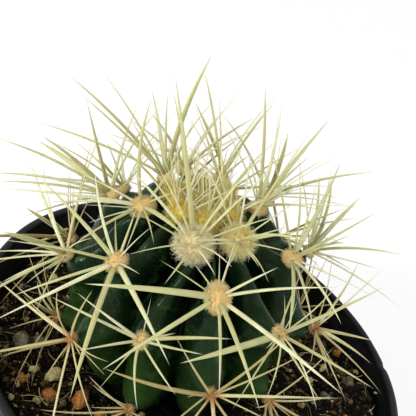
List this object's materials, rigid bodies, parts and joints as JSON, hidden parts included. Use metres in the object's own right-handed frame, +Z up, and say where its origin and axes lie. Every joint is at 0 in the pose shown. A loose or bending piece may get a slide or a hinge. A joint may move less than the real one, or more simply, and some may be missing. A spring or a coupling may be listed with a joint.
{
  "type": "potted round cactus",
  "caption": "Young ribbed barrel cactus with felted areoles and long pale spines, rooted in gritty soil in a round thin-walled plastic nursery pot.",
  "frame": {"origin": "centre of the pot's flat foot, on the surface that it stands on", "axes": "+Z up along the pot's axis; the picture looks along +Y from above, with +X to the right"},
  "size_m": [0.1024, 0.0978, 0.1527],
  "materials": {
    "pot": "black injection-moulded polypropylene, satin outside and glossier inside",
    "soil": "dark damp peat with mineral grit, rough",
    "body": "dark green living skin, smooth with a waxy sheen",
    "spines": "pale straw-coloured horny spines rooted in tan felt",
    "young_spines": "golden young spines in cream wool"
  },
  "bodies": {
    "root": {"areole_rib01_row2": "spines", "areole_rib01_row4": "spines", "areole_rib01_young": "young_spines", "areole_rib02_row1": "spines", "areole_rib02_row3": "spines", "areole_rib02_row5": "spines", "areole_rib03_row2": "spines", "areole_rib03_row4": "spines", "areole_rib03_young": "young_spines", "areole_rib04_row1": "spines", "areole_rib04_row3": "spines", "areole_rib04_row5": "spines", "areole_rib05_row2": "spines", "areole_rib05_row4": "spines", "areole_rib05_young": "young_spines", "areole_rib06_row1": "spines", "areole_rib06_row3": "spines", "areole_rib06_row5": "spines", "areole_rib07_row2": "spines", "areole_rib07_row4": "spines", "areole_rib07_young": "young_spines", "areole_rib08_row1": "spines", "areole_rib08_row3": "spines", "areole_rib08_row5": "spines", "areole_rib09_row2": "spines", "areole_rib09_row4": "spines", "areole_rib09_young": "young_spines", "areole_rib10_row1": "spines", "areole_rib10_row3": "spines", "areole_rib10_row5": "spines", "areole_rib11_row2": "spines", "areole_rib11_row4": "spines", "areole_rib11_young": "young_spines", "areole_rib12_row1": "spines", "areole_rib12_row3": "spines", "areole_rib12_row5": "spines", "cactus_body": "body", "growing_point": "young_spines", "pot": "pot", "soil": "soil"}
  },
  "joints": []
}
